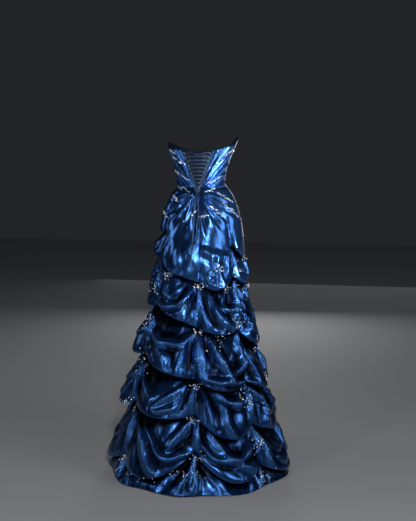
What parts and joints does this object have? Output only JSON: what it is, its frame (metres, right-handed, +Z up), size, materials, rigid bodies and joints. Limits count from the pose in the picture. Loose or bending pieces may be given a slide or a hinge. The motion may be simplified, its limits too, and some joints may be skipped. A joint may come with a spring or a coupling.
{
  "type": "prom dress",
  "caption": "Strapless floor-length prom dress with a laced back, pleated hips and a full skirt picked up in tiers of swags.",
  "frame": {"origin": "middle of the waist, on the line where the bodice meets the skirt", "axes": "+Z up, the wearer's front faces -Y, the wearer's left is +X"},
  "size_m": [0.7764, 0.7645, 1.3715],
  "materials": {
    "taffeta": "crisp dark royal blue taffeta with a soft metallic sheen",
    "panel": "plain dark blue taffeta",
    "cord": "satin cord"
  },
  "bodies": {
    "root": {"skirt_back_right": "taffeta", "skirt_side_back_right": "taffeta", "skirt_side_front_right": "taffeta", "skirt_front_right": "taffeta", "skirt_front_left": "taffeta", "skirt_side_front_left": "taffeta", "skirt_side_back_left": "taffeta", "skirt_back_left": "taffeta", "bodice_back_right": "taffeta", "bodice_back_left": "taffeta", "bodice_side_front_right": "taffeta", "bodice_side_front_left": "taffeta", "bodice_front": "taffeta", "modesty_panel": "panel", "loop_cord_right": "cord", "loop_cord_left": "cord", "lacing": "cord", "lacing_knot": "cord", "lacing_end_long": "cord", "lacing_end_short": "cord"}
  },
  "joints": []
}
